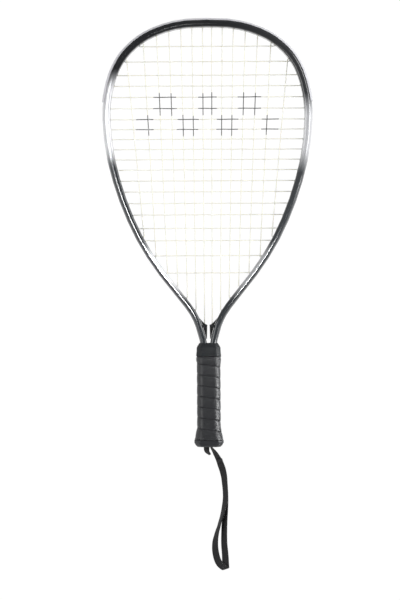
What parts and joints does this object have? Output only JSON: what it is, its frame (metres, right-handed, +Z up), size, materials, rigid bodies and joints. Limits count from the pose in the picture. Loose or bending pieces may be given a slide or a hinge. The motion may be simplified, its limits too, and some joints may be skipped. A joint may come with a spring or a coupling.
{
  "type": "racquetball racket",
  "caption": "Short teardrop racket: a bent tube with a drilled string groove, a woven string bed, a head guard, a tape-wound handle and a webbing wrist strap.",
  "frame": {"origin": "under the middle of the racket, between the head's top and the butt's end and on its centre line, on the surface that it lies on; the wrist strap isn't counted", "axes": "+Y from the butt to the head, +X across the head, +Z up, out of the string face"},
  "size_m": [0.2744, 0.722, 0.0341],
  "materials": {
    "lacquered_composite": "gloss lacquer on a fibre composite tube, black and silver",
    "guard_nylon": "satin light grey",
    "dark_nylon": "satin black",
    "string_nylon": "smooth off-white",
    "handle_foam": "moulded foam",
    "collar_rubber": "satin black",
    "grip_leather": "grained synthetic leather, dark grey",
    "cap_rubber": "satin dark grey",
    "strap_webbing": "woven black webbing"
  },
  "bodies": {
    "racket": {"frame_tube": "lacquered_composite", "bumper_guard": "guard_nylon", "head_grommet_strip": "dark_nylon", "left_grommet_strip": "dark_nylon", "right_grommet_strip": "dark_nylon", "main_string": "string_nylon", "cross_string": "string_nylon", "left_throat_cheek": "dark_nylon", "right_throat_cheek": "dark_nylon", "front_handle_pallet": "handle_foam", "back_handle_pallet": "handle_foam", "handle_core": "handle_foam", "grip_collar": "collar_rubber", "grip_tape": "grip_leather", "butt_cap": "cap_rubber", "strap_knot": "strap_webbing"},
    "strap": {"wrist_strap": "strap_webbing"}
  },
  "joints": [
    {"name": "strap_swing", "type": "hinge", "parent": "racket", "child": "strap", "pos_m": [0.0034, -0.2813, 0.0171], "axis": [0, 0, 1], "range_deg": [-40, 40]}
  ]
}
